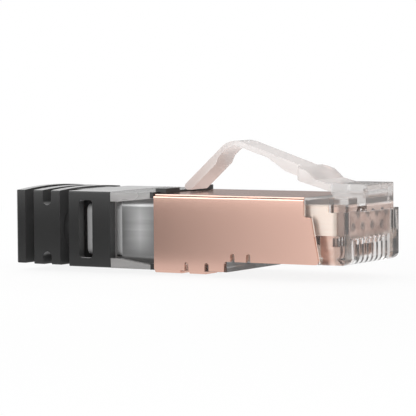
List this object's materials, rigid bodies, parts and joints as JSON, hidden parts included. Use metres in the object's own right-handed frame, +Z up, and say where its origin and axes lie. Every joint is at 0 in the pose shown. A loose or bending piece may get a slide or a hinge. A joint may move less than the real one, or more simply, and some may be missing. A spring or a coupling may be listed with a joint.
{
  "type": "shielded modular plug",
  "caption": "Shielded modular network plug: clear nose with blade comb and arched latch, copper-coloured shell, clear sleeve and black ribbed strain-relief boot.",
  "frame": {"origin": "under the middle of the plug, on the plane its lowest flaps rest on", "axes": "+X out of the nose towards the jack, +Z up through the latch, Y across the plug"},
  "size_m": [0.0394, 0.0116, 0.0132],
  "materials": {
    "clear_polycarbonate": "clear, polished",
    "clear_sleeve_plastic": "clear, lightly frosted",
    "copper_coloured_sheet": "satin sheet",
    "wire_guide_plastic": "satin moulded",
    "gold_plated_contact": "gold plated",
    "nickel_plated_shell": "satin plated",
    "black_collar_plastic": "fine moulded",
    "black_boot_rubber": "matte moulded"
  },
  "bodies": {
    "plug": {"housing": "clear_polycarbonate", "shield": "copper_coloured_sheet", "inner_screen": "copper_coloured_sheet", "wire_guide": "wire_guide_plastic", "rear_shell": "nickel_plated_shell", "cable_ferrule": "nickel_plated_shell", "collar": "black_collar_plastic", "clear_sleeve": "clear_sleeve_plastic", "boot": "black_boot_rubber", "contact_1": "gold_plated_contact", "contact_2": "gold_plated_contact", "contact_3": "gold_plated_contact", "contact_4": "gold_plated_contact", "contact_5": "gold_plated_contact", "contact_6": "gold_plated_contact", "contact_7": "gold_plated_contact", "contact_8": "gold_plated_contact"},
    "latch_arm": {"latch_arm": "clear_polycarbonate"},
    "latch_tail": {"latch_tail": "clear_polycarbonate"}
  },
  "joints": [
    {"name": "latch_flex", "type": "hinge", "parent": "plug", "child": "latch_arm", "pos_m": [0.01586, 0, 0.0084], "axis": [0, -1, 0], "range_deg": [0, 12], "stiffness_Nm_per_rad": 0.02},
    {"name": "tail_flex", "type": "hinge", "parent": "latch_arm", "child": "latch_tail", "pos_m": [0.00379, 0, 0.0132], "axis": [0, -1, 0], "range_deg": [-40, 0]}
  ],
  "couplings": [
    {"joint": "tail_flex", "follows": "latch_flex", "ratio": -3.3}
  ]
}
